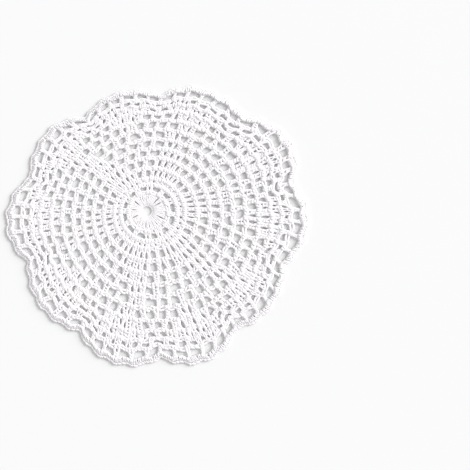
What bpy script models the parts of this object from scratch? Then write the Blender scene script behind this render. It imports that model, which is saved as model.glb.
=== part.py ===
"""A round crocheted doily of white cotton, lying flat: one worked piece, open where its gaps are wide.

It is worked from a ring outwards: solid rounds, twelve small spaces, a six-fold pinwheel of solid
wedges in mesh, ten fans, a row of large loops and a solid scalloped edge. Metres, +Z up. The origin
is the middle of the outline's box, on the underside. +Y is the far side, +X the right.
"""

import math
from collections import namedtuple

import bpy
from mathutils import Vector
from mathutils.geometry import delaunay_2d_cdt

# Driving dimensions
TIP_RADIUS = 0.100  # from the middle of the outline to the tip of a middling fan
THICKNESS = 0.0025  # of the crochet as it lies, pressed flat by washing and its own weight
EYE_RADIUS = 0.0031  # the hole in the middle of the first ring
BAND_HEIGHT = 0.0033  # of the solid line where one round's stitches stand on the last round's
HUB_SHIFT = Vector((-0.0088, 0.0086))  # the hub lies off the middle: the doily is pulled out of true
NOTCH_DEPTH = 0.0082  # how much nearer the middle the edge lies between two fans than at a tip
BULGE_START = 0.066  # radius where the rounds start to bow out over the fans
WEDGE_SWIRL = math.radians(300)  # turn of the pinwheel for each metre of radius
SWIRL_RADIUS = 0.0392  # radius where its wedges point as WEDGE_ANGLES says
LOOPS_ON_FAN = 4  # large loops of the last open round that stand over one fan
SHOULDER = 0.24  # share of a gap's width that each of its corners is drawn in
EDGE_BUMP = 0.0007  # height of the small bump that the edge makes over each loop
BUMP_POINTS = 3  # outline points on each of these bumps
EYE_POINTS = 10
STRAY = 0.0008  # how far a stitch of the outer rounds strays from its place: the work is by hand
STRAYS_OUTWARD, STRAYS_ROUND = 47, 61  # times round the doily that they stray outward and sideways
STRAY_TURN = 240  # radians by which the straying is behind that of a round 1 m nearer the middle

# Where each solid wedge of the pinwheel points, in degrees, and where each fan does, with its reach
# as a share of the tip radius. Worked by hand and stretched, so neither is quite regular.
WEDGE_ANGLES = (13, 70, 133, 189, 252, 313)
Fan = namedtuple("Fan", "angle reach")
FANS = (
    Fan(32, 1.055),
    Fan(71, 0.968),
    Fan(107, 0.930),
    Fan(143, 0.990),
    Fan(178, 1.048),
    Fan(215, 0.990),
    Fan(252, 1.003),
    Fan(289, 0.991),
    Fan(324, 0.955),
    Fan(360, 1.020),
)

# The rounds with gaps wide enough to see through. inner and outer are the radii of the round's own
# solid lines. motif is what its repeat is centred on. chart is one repeat, from that centre onwards:
# "." is a narrow gap between two stitches of a solid group, which is closed here, and "o" is an
# open gap. wide is the width of an open gap's share of the round against a narrow one's, and stitch
# is the width of the stitch that stands between two open gaps.
Round = namedtuple("Round", "inner outer motif chart wide stitch")
ROUNDS = (
    Round(0.0134, 0.0191, "space", "o", 1.00, 0.0046),
    Round(0.0238, 0.0314, "wedge", ".....oo", 1.60, 0.0028),
    Round(0.0314, 0.0392, "wedge", "....ooo", 1.60, 0.0031),
    Round(0.0392, 0.0464, "wedge", "...oooo", 1.70, 0.0033),
    Round(0.0464, 0.0536, "wedge", "..ooooo", 2.00, 0.0034),
    Round(0.0536, 0.0612, "wedge", "..oooooo", 2.00, 0.0034),
    Round(0.0612, 0.0690, "fan", "..oooo", 1.90, 0.0034),
    Round(0.0690, 0.0766, "fan", "......ooo", 1.95, 0.0033),
    Round(0.0766, 0.0828, "fan", "........oo", 1.90, 0.0033),
    Round(0.0828, 0.0884, "fan", "......o", 1.45, 0.0044),
    Round(0.0884, 0.0957, "fan", "oooooo", 1.00, 0.0031),
)
SPACES = 12  # small spaces round the hub
SPACE_HEIGHT = 0.0021
SPACE_START = math.radians(-3)  # direction of the first of them


def cyclic(value, knots):
    """A list repeated all the way round, read smoothly at a fractional place in it."""
    place = math.floor(value)
    share = value - place
    share = share * share * (3 - 2 * share)
    here, after = knots[place % len(knots)], knots[(place + 1) % len(knots)]
    return here + (after - here) * share


def turned(value, angles):
    """The direction, in radians, of a fractional place in a list of directions in degrees."""
    count = len(angles)
    place = math.floor(value)
    here = angles[place % count] + 360 * (place // count)
    after = angles[(place + 1) % count] + 360 * ((place + 1) // count)
    return math.radians(here + (after - here) * (value - place))


FAN_ANGLES = tuple(fan.angle for fan in FANS)
FAN_REACHES = tuple(fan.reach for fan in FANS)


def fan_place(angle):
    """The inverse of turned() for the fans: where a direction lies in their list."""
    degrees = math.degrees(angle)
    laps = math.floor((degrees - FAN_ANGLES[0]) / 360)
    degrees -= 360 * laps
    ends = FAN_ANGLES + (FAN_ANGLES[0] + 360,)
    for place in range(len(FANS)):
        if degrees <= ends[place + 1]:
            share = (degrees - ends[place]) / (ends[place + 1] - ends[place])
            return place + share + len(FANS) * laps
    return len(FANS) * (laps + 1)


def strayed(radius, angle):
    """The same point of the true round doily with the unevenness of handwork."""
    stray = STRAY * radius / TIP_RADIUS
    outward = stray * math.sin(STRAYS_OUTWARD * angle - STRAY_TURN * radius)
    sideways = stray * math.sin(STRAYS_ROUND * angle + STRAY_TURN * radius)
    return radius + outward, angle + sideways / radius


def laid(radius, angle):
    """The place on the table of a point of the true round doily, before the origin is set."""
    radius, angle = strayed(radius, angle)
    place = fan_place(angle)
    outward = radius / TIP_RADIUS
    off_tip = 2 * abs(place - round(place))  # 0 at a fan's tip and 1 between two fans
    rise = max(0.0, (radius - BULGE_START) / (TIP_RADIUS - BULGE_START))
    reach = 1 + (cyclic(place, FAN_REACHES) - 1) * outward**2
    far = radius * reach - NOTCH_DEPTH * rise * off_tip**2
    middle = HUB_SHIFT * (1 - outward)
    return middle + far * Vector((math.cos(angle), math.sin(angle)))


def cells_of(course):
    """(kind, start, end) of each gap of a round, in directions on the true round doily."""
    if course.motif == "space":
        step = 2 * math.pi / SPACES
        return [("o", SPACE_START + i * step, SPACE_START + (i + 1) * step) for i in range(SPACES)]
    angles = WEDGE_ANGLES if course.motif == "wedge" else FAN_ANGLES
    swirl = WEDGE_SWIRL * (course.outer - SWIRL_RADIUS) if course.motif == "wedge" else 0.0
    widths = [1.0 if kind == "." else course.wide for kind in course.chart]
    total = sum(widths)
    middle_group = course.chart.count(".") or LOOPS_ON_FAN * course.wide
    found = []
    for repeat in range(len(angles)):
        at = repeat - middle_group / total / 2
        for kind, width in zip(course.chart, widths):
            after = at + width / total
            found.append((kind, turned(at, angles) + swirl, turned(after, angles) + swirl))
            at = after
    return found


def gap_outline(course, start, end):
    """The six corners of one open gap, clockwise, with its sides drawn in by half a stitch."""
    if course.motif == "space":
        middle = (course.inner + course.outer) / 2
        low, high = middle - SPACE_HEIGHT / 2, middle + SPACE_HEIGHT / 2
    else:
        low, high = course.inner + BAND_HEIGHT / 2, course.outer - BAND_HEIGHT / 2
    middle = (low + high) / 2
    side = course.stitch / 2 / middle
    left, right = end - side, start + side
    shoulder = (left - right) * SHOULDER
    corners = (
        (middle, left),
        (high, left - shoulder),
        (high, right + shoulder),
        (middle, right),
        (low, right + shoulder),
        (low, left - shoulder),
    )
    return [laid(radius, angle) for radius, angle in corners]


def edge_outline():
    """The scalloped outer edge, anticlockwise: a small bump over each loop of the last open round."""
    points = []
    for _, start, end in cells_of(ROUNDS[-1]):
        for step in range(BUMP_POINTS):
            share = step / BUMP_POINTS
            radius = TIP_RADIUS - EDGE_BUMP + EDGE_BUMP * math.sin(math.pi * share)
            points.append(laid(radius, start + (end - start) * share))
    return points


def eye_outline():
    """The round hole in the middle, clockwise."""
    steps = [-2 * math.pi * i / EYE_POINTS for i in range(EYE_POINTS)]
    return [laid(EYE_RADIUS, angle) for angle in steps]


def rings_of_lace():
    """The outer edge first, then every hole that is cut through."""
    rings = [edge_outline(), eye_outline()]
    for course in ROUNDS:
        for kind, start, end in cells_of(course):
            if kind == "o":
                rings.append(gap_outline(course, start, end))
    return rings


def centred(rings):
    """The same rings, with the middle of the outer edge's box at the origin."""
    edge = rings[0]
    low = Vector((min(p.x for p in edge), min(p.y for p in edge)))
    high = Vector((max(p.x for p in edge), max(p.y for p in edge)))
    middle = (low + high) / 2
    return [[point - middle for point in ring] for ring in rings]


def sheet_mesh(name, rings, thickness):
    """A flat sheet with holes, closed all round, its underside at z = 0."""
    points = [point for ring in rings for point in ring]
    ring_of = [number for number, ring in enumerate(rings) for _ in ring]
    edges, first = [], 0
    for ring in rings:
        edges += [(first + i, first + (i + 1) % len(ring)) for i in range(len(ring))]
        first += len(ring)
    found, _, triangles, origins, _, _ = delaunay_2d_cdt(points, edges, [], 1, 1e-9)
    number = [origin[0] for origin in origins]

    def in_hole(triangle):
        holes = {ring_of[number[corner]] for corner in triangle}
        return len(holes) == 1 and 0 not in holes

    kept = [[number[corner] for corner in t] for t in triangles if not in_hole(t)]
    count = len(points)
    vertices = [(p.x, p.y, z) for z in (0.0, thickness) for p in points]
    faces = [tuple(reversed(t)) for t in kept]
    faces += [tuple(corner + count for corner in t) for t in kept]
    faces += [(a, b, b + count, a + count) for a, b in edges]
    mesh = bpy.data.meshes.new(name)
    mesh.from_pydata(vertices, [], faces)
    mesh.validate()
    return mesh


def cotton():
    """White cotton, matt and very slightly warm."""
    material = bpy.data.materials.new("white cotton")
    material.use_nodes = True
    shader = material.node_tree.nodes["Principled BSDF"]
    shader.inputs["Base Color"].default_value = (0.90, 0.90, 0.905, 1.0)
    shader.inputs["Roughness"].default_value = 0.9
    shader.inputs["Metallic"].default_value = 0.0
    return material


def main():
    for thing in list(bpy.data.objects):
        bpy.data.objects.remove(thing, do_unlink=True)
    mesh = sheet_mesh("doily", centred(rings_of_lace()), THICKNESS)
    mesh.materials.append(cotton())
    doily = bpy.data.objects.new("doily", mesh)
    bpy.context.scene.collection.objects.link(doily)


main()
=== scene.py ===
"""The look of a round crocheted doily: its cotton yarn, stitch by stitch, in the pattern of the sheet.

Every stitch is laid out on a true round doily, by radius, direction and height, and laid() then
places it on the table, pulled out of true as the sheet is. Metres, +Z up, +Y the far side.
"""

import math
from collections import namedtuple

import bpy
import numpy as np
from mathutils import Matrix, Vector


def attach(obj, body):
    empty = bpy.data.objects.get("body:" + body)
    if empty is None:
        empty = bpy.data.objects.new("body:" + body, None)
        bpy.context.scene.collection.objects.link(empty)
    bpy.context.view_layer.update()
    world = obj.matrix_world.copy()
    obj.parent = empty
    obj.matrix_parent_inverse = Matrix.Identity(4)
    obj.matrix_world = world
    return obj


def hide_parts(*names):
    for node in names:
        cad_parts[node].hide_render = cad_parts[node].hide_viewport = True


SEED = 24  # of the small differences between one stitch and the next

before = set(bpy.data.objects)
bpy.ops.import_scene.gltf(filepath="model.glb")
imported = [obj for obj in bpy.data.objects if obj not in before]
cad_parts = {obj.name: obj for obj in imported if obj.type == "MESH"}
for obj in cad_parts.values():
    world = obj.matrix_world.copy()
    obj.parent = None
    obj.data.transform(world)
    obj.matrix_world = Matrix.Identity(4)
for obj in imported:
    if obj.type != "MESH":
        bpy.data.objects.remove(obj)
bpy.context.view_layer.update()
random = np.random.default_rng(SEED)

# ------------------------------------------------------------------------------------------------
# The pattern, with the same values as the sheet
# ------------------------------------------------------------------------------------------------

TIP_RADIUS = 0.100  # from the middle of the outline to the tip of a middling fan
EYE_RADIUS = 0.0031  # the hole in the middle of the first ring
HUB_SHIFT = (-0.0088, 0.0086)  # the hub lies off the middle: the doily is pulled out of true
NOTCH_DEPTH = 0.0082  # how much nearer the middle the edge lies between two fans than at a tip
BULGE_START = 0.066  # radius where the rounds start to bow out over the fans
WEDGE_SWIRL = math.radians(300)  # turn of the pinwheel for each metre of radius
SWIRL_RADIUS = 0.0392  # radius where its wedges point as WEDGE_ANGLES says
LOOPS_ON_FAN = 4  # large loops of the last open round that stand over one fan
EDGE_BUMP = 0.0007  # height of the small bump that the edge makes over each loop
BUMP_POINTS = 3  # points of the sheet's outline on each of these bumps
SPACES = 12  # small spaces round the hub
SPACE_START = math.radians(-3)  # direction of the first of them
STRAY = 0.0008  # how far a stitch of the outer rounds strays from its place: the work is by hand
STRAYS_OUTWARD, STRAYS_ROUND = 47, 61  # times round the doily that they stray outward and sideways
STRAY_TURN = 240  # radians by which the straying is behind that of a round 1 m nearer the middle

# Where each solid wedge of the pinwheel points, in degrees, and where each fan does, with its reach
# as a share of the tip radius.
WEDGE_ANGLES = (13, 70, 133, 189, 252, 313)
FAN_ANGLES = (32, 71, 107, 143, 178, 215, 252, 289, 324, 360)
FAN_REACHES = (1.055, 0.968, 0.930, 0.990, 1.048, 0.990, 1.003, 0.991, 0.955, 1.020)

# "." in a chart is a narrow gap between two stitches of a solid group and "o" is an open one, which
# is wide times as wide. stitch is the width of what stands between two open gaps, which is one tall
# stitch or, where paired says so, two side by side.
Round = namedtuple("Round", "inner outer motif chart wide stitch paired")
ROUNDS = (
    Round(0.0134, 0.0191, "space", "o", 1.00, 0.0046, True),
    Round(0.0238, 0.0314, "wedge", ".....oo", 1.60, 0.0028, False),
    Round(0.0314, 0.0392, "wedge", "....ooo", 1.60, 0.0031, False),
    Round(0.0392, 0.0464, "wedge", "...oooo", 1.70, 0.0033, False),
    Round(0.0464, 0.0536, "wedge", "..ooooo", 2.00, 0.0034, False),
    Round(0.0536, 0.0612, "wedge", "..oooooo", 2.00, 0.0034, False),
    Round(0.0612, 0.0690, "fan", "..oooo", 1.90, 0.0034, False),
    Round(0.0690, 0.0766, "fan", "......ooo", 1.95, 0.0033, False),
    Round(0.0766, 0.0828, "fan", "........oo", 1.90, 0.0033, False),
    Round(0.0828, 0.0884, "fan", "......o", 1.45, 0.0044, True),
    Round(0.0884, 0.0957, "fan", "oooooo", 1.00, 0.0031, False),
)
HUB_ROUNDS = 2  # the first of them, which belong to the hub's piece
NEAR_ROUNDS = 7  # those before the first one whose chain belongs to the far chains

# ------------------------------------------------------------------------------------------------
# The yarn and its stitches
# ------------------------------------------------------------------------------------------------

YARN = 0.00125  # thickness of the yarn where nothing presses it flat
SIDES = 6  # flats round a strand
END_TAPER = 0.72  # thickness of a strand's two ends, as a share
YARN_MAP = "Yarn"  # the UV map of metres along the yarn and turns round it
EYE_HEIGHT = 0.6 * YARN  # of the turn of yarn round the eye
EYE_POINTS = 28  # along that turn

FIRST_STITCHES = 24  # tall stitches in the first ring
SOLID_STITCHES = 36  # in the solid round outside the small spaces
EDGE_STITCHES = 5  # of the scalloped edge in each large loop
SLIT = 0.00055  # left open between two stitches of a solid group
WEDGE_SLIT = 0.00110  # the same in the wedges of the pinwheel
FIRST_SLIT = 0.00020  # the same at the outer end of the first ring's stitches
STITCH_LEGS = 1.68  # width of a stitch in widths of a leg: its two legs press together
LOW_STITCH = 3.2 * YARN  # a stitch lower than this has less room, so its parts lie closer together
FOOT_STRAY, HEAD_STRAY = 0.08, 0.06  # how far a stitch's ends lie off their places, in gaps

THIN_LEG, WIDE_LEG = 0.00105, 0.00235  # limits of a leg's width: slack yarn spreads, tight doesn't
LEG_APART = 0.41  # from the middle of a stitch to the middle of a leg, in widths of a leg
LEG_HEIGHT = 1.08 * YARN  # of the middle of a stitch's two legs over the table
LEG_START, LEG_END = 1.2 * YARN, 0.95 * YARN  # from the lower and the upper chain to SPREAD's ends
LEG_STRAY = 0.09  # how much the widths of legs differ, as a share

CHAIN_LINK = 0.0030  # about the length of one link of a round's upper chain
LOOP_LINK = 0.0023  # the same over the small spaces, in the large loops and in the edge
LINK_HALF = 0.00092  # from the middle of a chain to the middle of a link's leg
LINK_WIDE, LINK_HIGH = 1.50 * YARN, 0.76 * YARN
LINK_BACK = 0.5  # of its length, by which each link starts early: one is centred on each stitch
CHAIN_STRAY = 0.00010  # how far a link lies off its chain's radius
EDGE_SINK = 0.30 * YARN  # how much lower the two chains of the edge lie

WRAP_WIDE, WRAP_HIGH = 1.05 * YARN, 0.60 * YARN
WRAP_POINTS = 13  # along one wrap
WRAP_SQUARE = 0.8  # power that makes its round turn a little square
WRAP_SLANT = 0.45 * YARN  # how far a wrap climbs from one side of its post to the other, halved
WRAP_BITE = 0.00060  # how deep its turns lie in the legs' sides
WRAP_SUNK = 0.42 * WRAP_HIGH  # how deep its middle lies in their upper and under sides
WRAP_STRAY = 0.05  # how far a wrap lies off its place, as a share of its post's height
TALL_ROUND = 0.0065  # a round deeper than this has two wraps on each stitch
FIRST_WAISTS = (0.45, 0.72)  # the first ring's wraps, as shares of their post's height
TALL_WAISTS = (0.40, 0.64)  # the same in a tall round
LOW_WAISTS = (0.55,)  # the same in a low one

# One end of a leg: its distance outward from the chain that it stands on, in thicknesses of yarn,
# its distance from the stitch's middle, as a share of the leg's own, and its height, in thicknesses
# of yarn. A foot comes up on the inner side of the lower chain and lies over it.
FOOT = ((-1.10, 0.80, 0.90), (-0.60, 0.95, 1.38), (0.15, 1.05, 1.42), (0.80, 1.20, 1.16))
# The feet of the edge's stitches are narrower, and cross the large loops' chain higher up.
EDGE_FOOT = ((-1.05, 0.70, 0.80), (-0.80, 0.75, 1.36), (-0.10, 0.85, 1.55), (0.65, 0.95, 1.25))
# A foot of the first ring starts under the turn of yarn round the eye instead.
FIRST_FOOT = ((-0.30, 0.85, 0.50), (0.15, 1.05, 0.56), (0.70, 1.30, 0.80))
# Between its ends a leg lies this far from the stitch's middle, as a share of its own distance.
SPREAD = (1.36, 0.98, 0.94, 1.30)
# The upper end, outward from the chain that it holds up, which it slips under.
HEAD = ((-0.45, 1.22, 1.00), (0.12, 0.95, 0.86))
# Half a link of a chain, from its tail, inside the last link, to its closed end, under the next:
# the distance along, in links, across, as a share of LINK_HALF, and height, in thicknesses of yarn.
LINK = (
    (-0.20, 0.30, 0.84),
    (0.00, 0.42, 1.06),
    (0.22, 0.70, 1.16),
    (0.50, 0.96, 1.15),
    (0.80, 1.00, 1.03),
    (1.00, 0.82, 0.93),
    (1.10, 0.45, 0.88),
)
LINK_END = (1.13, 0.00, 0.87)

PLIES = 3  # twisted together in the yarn
PLY_LENGTH = 0.0011  # along the yarn from one ply to the next
PLY_DEPTH = 0.00014  # of the groove between two plies
GROOVE_POWER = 2.5  # how narrow the shade painted along that groove is
FIBRES_ALONG, FIBRES_ROUND = 700.0, 6.0  # how close the streaks of fibre lie, along a ply and across
FUZZ_SCALE, BLOTCH_SCALE = 2600.0, 55.0  # of the fine fuzz and of the uneven tone, for each metre
FINE_DETAIL, BLOTCH_DETAIL = 3.0, 2.0  # finer layers in the noise of fibres and fuzz, and of tone
FIBRE_BUMP, FUZZ_BUMP = 0.35, 0.25  # heights of fibres and of fuzz, in depths of a groove
BUMP_STRENGTH = 0.65
COTTON_COOL, COTTON_WARM = (0.905, 0.885, 0.905, 1), (0.925, 0.90, 0.91, 1)
# the darker cotton colour: shade painted into the grooves between plies, and darker streaks of fibre
COTTON_PAINTED_SHADE_AND_STREAKS = (0.78, 0.775, 0.80, 1)
PAINTED_GROOVE_SHADE, FIBRE_SHADE = 0.55, 0.25  # shares of that colour: painted groove shade, fibre streaks
LEAST_ROUGH, FUZZ_ROUGH = 0.74, 0.22  # the cotton's roughness and what the fuzz adds to it
SHEEN, SHEEN_ROUGH = 0.08, 0.5
SPECULAR = 0.25
MIX_FIRST, MIX_SECOND, MIX_RESULT = 6, 7, 2  # sockets for colours of a Mix node

UP = (0, 0, 1)
# A batch of strands: the points that each runs through, the direction that its flat side faces,
# and how wide and high it is.
Strands = namedtuple("Strands", "paths outward wide high")


def cyclic(value, knots):
    """A list repeated all the way round, read smoothly at fractional places in it."""
    place = np.floor(value).astype(int)
    share = value - place
    share = share * share * (3 - 2 * share)
    knots = np.array(knots)
    here, after = knots[place % len(knots)], knots[(place + 1) % len(knots)]
    return here + (after - here) * share


def turned(value, angles):
    """The direction, in radians, of a fractional place in a list of directions in degrees."""
    count = len(angles)
    place = math.floor(value)
    here = angles[place % count] + 360 * (place // count)
    after = angles[(place + 1) % count] + 360 * ((place + 1) // count)
    return math.radians(here + (after - here) * (value - place))


def strayed(radius, angle):
    """The same points of the true round doily with the unevenness of handwork."""
    stray = STRAY * radius / TIP_RADIUS
    outward = stray * np.sin(STRAYS_OUTWARD * angle - STRAY_TURN * radius)
    sideways = stray * np.sin(STRAYS_ROUND * angle + STRAY_TURN * radius)
    return radius + outward, angle + sideways / radius


def pulled(radius, angle):
    """x and y on the table of points of the true round doily, before the origin is set."""
    radius, angle = strayed(radius, angle)
    first = FAN_ANGLES[0]
    ends = np.array(FAN_ANGLES + (first + 360,)) - first
    place = np.interp((np.degrees(angle) - first) % 360, ends, np.arange(len(ends)))
    outward = radius / TIP_RADIUS
    off_tip = 2 * np.abs(place - np.round(place))  # 0 at a fan's tip and 1 between two fans
    rise = np.maximum(0.0, (radius - BULGE_START) / (TIP_RADIUS - BULGE_START))
    reach = 1 + (cyclic(place, FAN_REACHES) - 1) * outward**2
    far = radius * reach - NOTCH_DEPTH * rise * off_tip**2
    x = HUB_SHIFT[0] * (1 - outward) + far * np.cos(angle)
    y = HUB_SHIFT[1] * (1 - outward) + far * np.sin(angle)
    return x, y


def cells_of(course):
    """(kind, start, end) of each gap of a round, in directions on the true round doily."""
    if course.motif == "space":
        step = 2 * math.pi / SPACES
        return [("o", SPACE_START + i * step, SPACE_START + (i + 1) * step) for i in range(SPACES)]
    angles = WEDGE_ANGLES if course.motif == "wedge" else FAN_ANGLES
    swirl = WEDGE_SWIRL * (course.outer - SWIRL_RADIUS) if course.motif == "wedge" else 0.0
    widths = [1.0 if kind == "." else course.wide for kind in course.chart]
    total = sum(widths)
    middle_group = course.chart.count(".") or LOOPS_ON_FAN * course.wide
    found = []
    for repeat in range(len(angles)):
        at = repeat - middle_group / total / 2
        for kind, width in zip(course.chart, widths):
            after = at + width / total
            found.append((kind, turned(at, angles) + swirl, turned(after, angles) + swirl))
            at = after
    return found


def even_cells(count, start=0.0):
    """The narrow gaps of a solid round."""
    step = 2 * math.pi / count
    return [(".", start + i * step, start + (i + 1) * step) for i in range(count)]


def paired_cells(cells, apart):
    """The gaps of a round whose stitches stand in pairs, apart being the angle within a pair."""
    found = []
    for _, start, end in cells:
        found.append((".", start - apart / 2, start + apart / 2))
        found.append(("o", start + apart / 2, end - apart / 2))
    return found


def split_cells(cells, count):
    """The narrow gaps of a solid round with that many stitches over each cell."""
    found = []
    for _, start, end in cells:
        step = (end - start) / count
        found += [(".", start + i * step, start + (i + 1) * step) for i in range(count)]
    return found


def edge_middle():
    """The middle of the outline's box, from the same bumps as the sheet's edge has."""
    points = []
    for _, start, end in cells_of(ROUNDS[-1]):
        for step in range(BUMP_POINTS):
            share = step / BUMP_POINTS
            radius = TIP_RADIUS - EDGE_BUMP + EDGE_BUMP * math.sin(math.pi * share)
            points.append((radius, start + (end - start) * share))
    x, y = pulled(*np.array(points).T)
    return (x.min() + x.max()) / 2, (y.min() + y.max()) / 2


MIDDLE = edge_middle()


def laid(radius, angle, height):
    """Points of the true round doily as (x, y, z) in the frame."""
    x, y = pulled(radius, angle)
    return np.stack((x - MIDDLE[0], y - MIDDLE[1], np.broadcast_to(height, x.shape)), axis=-1)


# ------------------------------------------------------------------------------------------------
# Strands
# ------------------------------------------------------------------------------------------------

# The tall stitches of a round, as arrays with one row for each. inner and outer are the radii of
# the chains that they stand on and hold up, foot and head the directions of their two ends, half
# the distance of each leg from the stitch's middle, and leg the leg's width. Both of these grow
# outward from the eye where flare is 1 and stay the same where it is 0.
Posts = namedtuple("Posts", "inner outer foot head half leg flare")


def flattened(wide):
    """How high a strand of that width is: the same yarn, pressed."""
    return np.minimum(YARN, YARN**2 / wide)


def leg_strands(posts, side, foot):
    """One of the two legs of each post, on that side of its middle, with that table for its foot."""
    feet, heads = np.array(foot), np.array(HEAD)
    room = np.minimum(1.0, (posts.outer - posts.inner) / LOW_STITCH)
    rise = feet[:, 0] * YARN * np.where(feet[:, 0] > 0, room, 1.0)
    low, high = posts.inner + LEG_START * room, posts.outer - LEG_END * room
    middle = low + (high - low) * np.linspace(0, 1, len(SPREAD))
    radius = np.hstack((posts.inner + rise, middle, posts.outer + heads[:, 0] * YARN))
    share = np.clip((radius - posts.inner) / (posts.outer - posts.inner), 0, 1)
    across = np.hstack((feet[:, 1], SPREAD, heads[:, 1]))
    height = np.hstack((feet[:, 2] * YARN, np.full(len(SPREAD), LEG_HEIGHT), heads[:, 2] * YARN))
    grown = (radius / posts.outer) ** posts.flare
    angle = posts.foot + (posts.head - posts.foot) * share
    angle = angle + side * across * posts.half * grown / radius
    wide = np.maximum(THIN_LEG, posts.leg * grown * across)
    return Strands(laid(radius, angle, height), UP, wide, flattened(wide))


def wrap_strands(posts, at):
    """The slanting turn of yarn round both legs of each post, near that share of its height."""
    at = at + random.normal(0, WRAP_STRAY, posts.foot.shape)
    turn = np.linspace(-0.5 * math.pi, 1.5 * math.pi, WRAP_POINTS)
    run, rise = np.cos(turn), np.sin(turn)
    run = np.sign(run) * np.abs(run) ** WRAP_SQUARE
    rise = np.sign(rise) * np.abs(rise) ** WRAP_SQUARE
    middle = posts.inner + (posts.outer - posts.inner) * at
    grown = (middle / posts.outer) ** posts.flare
    radius = middle + WRAP_SLANT * run
    reach = (posts.half + posts.leg / 2) * grown - WRAP_BITE
    angle = posts.foot + (posts.head - posts.foot) * at + reach * run / radius
    height = LEG_HEIGHT + (flattened(posts.leg) / 2 - WRAP_SUNK) * rise
    paths = laid(radius, angle, height)
    outward = paths - paths[:, :-1].mean(axis=1, keepdims=True)
    return Strands(paths, outward, WRAP_WIDE, WRAP_HIGH)


def link_strands(radius, start, end, sunk):
    """One link of a chain for each row: a hairpin whose closed end lies under the next link."""
    half = np.array(LINK)
    along = np.hstack((half[:, 0], LINK_END[0], half[::-1, 0])) - LINK_BACK
    across = np.hstack((-half[:, 1], LINK_END[1], half[::-1, 1]))
    height = np.hstack((half[:, 2], LINK_END[2], half[::-1, 2])) * YARN - sunk
    angle = start + (end - start) * along
    paths = laid(radius + across * LINK_HALF, angle, height)
    return Strands(paths, UP, LINK_WIDE, LINK_HIGH)


def eye_strand():
    """One closed turn of yarn round the eye."""
    angle = np.linspace(0, 2 * math.pi, EYE_POINTS)[None]
    paths = laid(np.full(angle.shape, EYE_RADIUS + YARN / 2), angle, EYE_HEIGHT)
    return Strands(paths, UP, YARN, YARN)


def swept(strands):
    """Rings of points round a batch of strands, all with the same number of points."""
    ahead = np.gradient(strands.paths, axis=1)
    ahead /= np.linalg.norm(ahead, axis=2, keepdims=True)
    up = strands.outward - (strands.outward * ahead).sum(axis=2, keepdims=True) * ahead
    up /= np.linalg.norm(up, axis=2, keepdims=True)
    across = np.cross(ahead, up)
    taper = np.ones(strands.paths.shape[1])
    taper[[0, -1]] = END_TAPER
    high = np.broadcast_to(strands.high * taper / 2, ahead.shape[:2])
    wide = np.broadcast_to(strands.wide * taper / 2, ahead.shape[:2])
    turn = math.pi + 2 * math.pi * np.arange(SIDES) / SIDES
    ring = (up * high[..., None])[:, :, None] * np.cos(turn)[:, None]
    ring = ring + (across * wide[..., None])[:, :, None] * np.sin(turn)[:, None]
    return strands.paths[:, :, None] + ring


def skinned(strands, first):
    """The points of a batch, numbered from first on, its faces' corners and sizes, and their UVs."""
    rings = swept(strands)
    count, samples = rings.shape[:2]
    here = first + np.arange(count * samples * SIDES).reshape(count, samples, SIDES)
    after = np.roll(here, -1, axis=2)
    quads = np.stack((here[:, :-1], after[:, :-1], after[:, 1:], here[:, 1:]), axis=-1)
    corners = [quads.ravel()]
    sizes = [np.full(quads.size // 4, 4)]
    steps = np.linalg.norm(np.diff(strands.paths, axis=1), axis=2)
    along = np.concatenate((np.zeros((count, 1)), np.cumsum(steps, axis=1)), axis=1)
    along = along + random.random((count, 1))
    low = np.broadcast_to(along[:, :-1, None], quads.shape[:3])
    high = np.broadcast_to(along[:, 1:, None], quads.shape[:3])
    left = np.broadcast_to(np.arange(SIDES) / SIDES, quads.shape[:3])
    right = left + 1 / SIDES
    place = np.stack((low, left, low, right, high, right, high, left), axis=-1)
    places = [place.reshape(-1, 2)]
    for end, way in ((0, -1), (samples - 1, 1)):  # a cap on each end, facing out
        cap = here[:, end, ::way]
        corners.append(cap.ravel())
        sizes.append(np.full(count, SIDES))
        at = np.broadcast_to(along[:, end, None], cap.shape)
        places.append(np.stack((at, np.zeros(cap.shape)), axis=-1).reshape(-1, 2))
    return rings.reshape(-1, 3), *(np.concatenate(kind) for kind in (corners, sizes, places))


def yarn_piece(name, batches, material):
    """One mesh of every strand in the batches."""
    skins, first = [], 0
    for strands in batches:
        skins.append(skinned(strands, first))
        first += len(skins[-1][0])
    points, corners, sizes, places = (np.concatenate(kind) for kind in zip(*skins))
    mesh = bpy.data.meshes.new(name)
    mesh.vertices.add(len(points))
    mesh.vertices.foreach_set("co", points.astype(np.float32).ravel())
    mesh.loops.add(len(corners))
    mesh.loops.foreach_set("vertex_index", corners.astype(np.int32))
    mesh.polygons.add(len(sizes))
    mesh.polygons.foreach_set("loop_start", (np.cumsum(sizes) - sizes).astype(np.int32))
    mesh.update(calc_edges=True)
    mesh.polygons.foreach_set("use_smooth", np.ones(len(sizes), bool))
    mesh.uv_layers.new(name=YARN_MAP).data.foreach_set("uv", places.astype(np.float32).ravel())
    mesh.validate()
    mesh.materials.append(material)
    piece = bpy.data.objects.new(name, mesh)
    bpy.context.scene.collection.objects.link(piece)
    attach(piece, "root")
    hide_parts("doily")
    return piece


# ------------------------------------------------------------------------------------------------
# The cotton
# ------------------------------------------------------------------------------------------------

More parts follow.
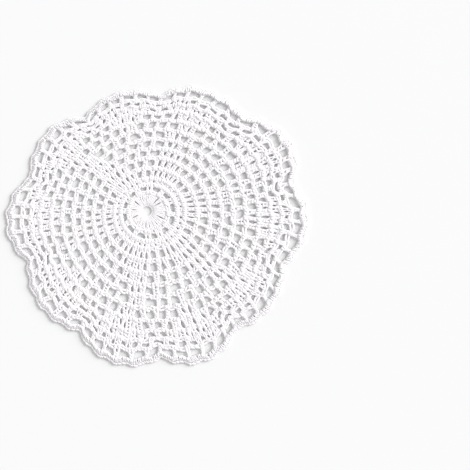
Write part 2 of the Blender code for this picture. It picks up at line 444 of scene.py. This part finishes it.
def cotton():
    """Soft white cotton: three plies twisted together, with fine fibres, a little uneven in tone."""
    material = bpy.data.materials.new("white cotton yarn")
    material.use_nodes = True
    nodes, links = material.node_tree.nodes, material.node_tree.links
    shader = nodes["Principled BSDF"]
    shader.inputs["Sheen Weight"].default_value = SHEEN
    shader.inputs["Sheen Roughness"].default_value = SHEEN_ROUGH
    shader.inputs["Specular IOR Level"].default_value = SPECULAR

    def feed(socket, value):
        """Link another socket to this one, or set this one to a constant."""
        if isinstance(value, bpy.types.NodeSocket):
            links.new(value, socket)
        else:
            socket.default_value = value

    def math_node(operation, *values):
        """The result of a Math node fed by those sockets and numbers."""
        node = nodes.new("ShaderNodeMath")
        node.operation = operation
        for socket, value in zip(node.inputs, values):
            feed(socket, value)
        return node.outputs["Value"]

    def noise(vector, scale, detail):
        """The value of a noise over those coordinates."""
        node = nodes.new("ShaderNodeTexNoise")
        node.inputs["Scale"].default_value = scale
        node.inputs["Detail"].default_value = detail
        links.new(vector, node.inputs["Vector"])
        return node.outputs["Fac"]

    def mixed(share, first, second):
        """A colour between two, which are colours or sockets."""
        node = nodes.new("ShaderNodeMix")
        node.data_type = "RGBA"
        links.new(share, node.inputs["Factor"])
        feed(node.inputs[MIX_FIRST], first)
        feed(node.inputs[MIX_SECOND], second)
        return node.outputs[MIX_RESULT]

    yarn_map = nodes.new("ShaderNodeUVMap")
    yarn_map.uv_map = YARN_MAP
    parts = nodes.new("ShaderNodeSeparateXYZ")
    links.new(yarn_map.outputs["UV"], parts.inputs["Vector"])
    along, around = parts.outputs["X"], parts.outputs["Y"]
    turn = math_node("MULTIPLY", around, PLIES * math.pi)
    twist = math_node("MULTIPLY_ADD", along, math.pi / PLY_LENGTH, turn)
    ply = math_node("ABSOLUTE", math_node("SINE", twist))
    spun = nodes.new("ShaderNodeCombineXYZ")
    links.new(math_node("MULTIPLY", along, FIBRES_ALONG), spun.inputs["X"])
    links.new(math_node("MULTIPLY", twist, FIBRES_ROUND), spun.inputs["Y"])
    place = nodes.new("ShaderNodeTexCoord").outputs["Object"]
    fibre = noise(spun.outputs["Vector"], 1.0, FINE_DETAIL)
    fuzz = noise(place, FUZZ_SCALE, FINE_DETAIL)
    blotch = noise(place, BLOTCH_SCALE, BLOTCH_DETAIL)

    tone = mixed(blotch, COTTON_COOL, COTTON_WARM)
    # Painted shade: the colour is darkened along the grooves between the plies, where they shade each
    # other.
    groove_shade_mask = math_node("POWER", math_node("SUBTRACT", 1.0, ply), GROOVE_POWER)
    tone = mixed(math_node("MULTIPLY", groove_shade_mask, PAINTED_GROOVE_SHADE), tone, COTTON_PAINTED_SHADE_AND_STREAKS)
    tone = mixed(math_node("MULTIPLY", fibre, FIBRE_SHADE), tone, COTTON_PAINTED_SHADE_AND_STREAKS)
    links.new(tone, shader.inputs["Base Color"])
    rough = math_node("MULTIPLY_ADD", fuzz, FUZZ_ROUGH, LEAST_ROUGH)
    links.new(rough, shader.inputs["Roughness"])
    height = math_node("MULTIPLY_ADD", fuzz, FUZZ_BUMP, ply)
    height = math_node("MULTIPLY_ADD", fibre, FIBRE_BUMP, height)
    bump = nodes.new("ShaderNodeBump")
    bump.inputs["Strength"].default_value = BUMP_STRENGTH
    bump.inputs["Distance"].default_value = PLY_DEPTH
    links.new(height, bump.inputs["Height"])
    links.new(bump.outputs["Normal"], shader.inputs["Normal"])
    return material


# ------------------------------------------------------------------------------------------------
# The rounds
# ------------------------------------------------------------------------------------------------

def posts_of(inner, outer, cells, stitch=0.0, slit=SLIT, flare=0):
    """One post at each cell's start, as wide as stitch beside an open gap.

    Beside a narrow one its legs spread until only the slit is left.
    """
    count = len(cells)
    head = np.array([start for _, start, _ in cells])
    gap = np.array([end - start for _, start, end in cells])
    narrow = np.array([kind == "." for kind, _, _ in cells])
    measured_at = outer if flare else (inner + outer) / 2
    room = np.where(narrow, gap * measured_at - slit, stitch)
    room = (room + np.roll(room, 1)) / 2
    leg = np.clip(room / STITCH_LEGS, THIN_LEG, WIDE_LEG) * random.normal(1, LEG_STRAY, count)
    half = leg * LEG_APART * random.normal(1, LEG_STRAY, count)
    foot = head + gap * random.normal(0, FOOT_STRAY, count)
    head = head + gap * random.normal(0, HEAD_STRAY, count)
    ends = np.full(count, inner), np.full(count, outer)
    return Posts(*(values[:, None] for values in (*ends, foot, head, half, leg)), flare)


def worked(posts, waists, foot=FOOT):
    """Both legs of the posts, and their wraps at those shares of their height."""
    legs = [leg_strands(posts, side, foot) for side in (1, -1)]
    return legs, [wrap_strands(posts, at) for at in waists]


def chain_of(radius, cells, link, sunk=0.0):
    """The chain along the top of a round, with whole links over each cell."""
    starts, ends = [], []
    for _, start, end in cells:
        count = max(1, round((end - start) * radius / link))
        for i in range(count):
            starts.append(start + (end - start) * i / count)
            ends.append(start + (end - start) * (i + 1) / count)
    radii = radius + random.normal(0, CHAIN_STRAY, len(starts))
    return link_strands(*(np.array(values)[:, None] for values in (radii, starts, ends)), sunk)


first_cells = even_cells(FIRST_STITCHES)
first_inner, first_outer = EYE_RADIUS + YARN / 2, ROUNDS[0].inner
first_posts = posts_of(first_inner, first_outer, first_cells, slit=FIRST_SLIT, flare=1)
legs, wraps = worked(first_posts, FIRST_WAISTS, FIRST_FOOT)
hub_batches = [eye_strand(), *legs, *wraps, chain_of(first_outer, first_cells, CHAIN_LINK)]

solid_cells = even_cells(SOLID_STITCHES, SPACE_START)
solid_inner, solid_outer = ROUNDS[0].outer, ROUNDS[1].inner
legs, wraps = worked(posts_of(solid_inner, solid_outer, solid_cells), LOW_WAISTS)
hub_batches += [*legs, *wraps, chain_of(solid_outer, solid_cells, CHAIN_LINK)]

leg_batches, wrap_batches, near_batches, far_batches = [], [], [], []
for number, course in enumerate(ROUNDS):
    cells = cells_of(course)
    last = course is ROUNDS[-1]
    link = LOOP_LINK if last or course.motif == "space" else CHAIN_LINK
    chain = chain_of(course.outer, cells, link, EDGE_SINK if last else 0.0)
    stitch = course.stitch
    if course.paired:
        stitch = stitch / 2
        cells = paired_cells(cells, stitch / course.outer)
    tall = course.outer - course.inner > TALL_ROUND
    slit = WEDGE_SLIT if course.motif == "wedge" else SLIT
    posts = posts_of(course.inner, course.outer, cells, stitch, slit)
    legs, wraps = worked(posts, TALL_WAISTS if tall else LOW_WAISTS)
    if number < HUB_ROUNDS:
        hub_batches += [*legs, *wraps, chain]
    else:
        leg_batches += legs
        wrap_batches += wraps
        chain_batches = near_batches if number < NEAR_ROUNDS else far_batches
        chain_batches.append(chain)

edge_cells = split_cells(cells_of(ROUNDS[-1]), EDGE_STITCHES)
edge_inner, edge_outer = ROUNDS[-1].outer, TIP_RADIUS - EDGE_BUMP - LINK_HALF - LINK_WIDE / 2
legs, _ = worked(posts_of(edge_inner, edge_outer, edge_cells), (), EDGE_FOOT)
edge_batches = [*legs, chain_of(edge_outer, edge_cells, LOOP_LINK, EDGE_SINK)]

white_cotton = cotton()
stitches = yarn_piece("doily_stitches", leg_batches, white_cotton)
hub = yarn_piece("doily_hub", hub_batches, white_cotton)
waists = yarn_piece("doily_waists", wrap_batches, white_cotton)
chains = yarn_piece("doily_chains", near_batches, white_cotton)
far_chains = yarn_piece("doily_far_chains", far_batches, white_cotton)
edge = yarn_piece("doily_edge", edge_batches, white_cotton)

# ------------------------------------------------------------------------------------------------
# Floor, light and camera
# ------------------------------------------------------------------------------------------------

FLOOR_SIZE = 6  # metres each way
FLOOR_COLOUR = (0.83, 0.83, 0.835, 1)
FLOOR_ROUGH = 0.8
SURROUND_COLOUR = (1, 1, 1, 1)
SURROUND_STRENGTH = 0.66
KEY_STRENGTH = 3.2
KEY_WIDTH = math.radians(40)  # angle across the key light as seen from the table: it is soft
KEY_DIRECTION = (-0.80, -0.40, -0.50)  # in which its light goes
PHOTO_WIDTH = 0.3176  # metres across the picture, at the table
PHOTO_MIDDLE = (0.0524, -0.0056)  # the picture's middle on the table
LENS = 120.0  # millimetres
SENSOR = 36.0  # millimetres


def floor():
    """A plain pale floor."""
    bpy.ops.mesh.primitive_plane_add(size=FLOOR_SIZE, location=(0, 0, 0))
    plane = bpy.context.object
    plane.name = "floor"
    material = bpy.data.materials.new("pale floor")
    material.use_nodes = True
    shader = material.node_tree.nodes["Principled BSDF"]
    shader.inputs["Base Color"].default_value = FLOOR_COLOUR
    shader.inputs["Roughness"].default_value = FLOOR_ROUGH
    plane.data.materials.append(material)


def lights():
    """A soft key light from the right and the far side, and an even surround."""
    world = bpy.data.worlds.new("studio")
    world.use_nodes = True
    background = world.node_tree.nodes["Background"]
    background.inputs["Color"].default_value = SURROUND_COLOUR
    background.inputs["Strength"].default_value = SURROUND_STRENGTH
    bpy.context.scene.world = world
    light = bpy.data.lights.new("key", "SUN")
    light.energy = KEY_STRENGTH
    light.angle = KEY_WIDTH
    key = bpy.data.objects.new("key", light)
    key.rotation_euler = Vector(KEY_DIRECTION).to_track_quat("-Z", "Y").to_euler()
    bpy.context.scene.collection.objects.link(key)


def camera():
    """Straight above, with the photograph's framing."""
    data = bpy.data.cameras.new("camera")
    data.lens, data.sensor_width = LENS, SENSOR
    eye = bpy.data.objects.new("camera", data)
    eye.location = (*PHOTO_MIDDLE, PHOTO_WIDTH * LENS / SENSOR)
    bpy.context.scene.collection.objects.link(eye)
    bpy.context.scene.camera = eye


bpy.context.scene.view_settings.view_transform = "Standard"
floor()
lights()
camera()
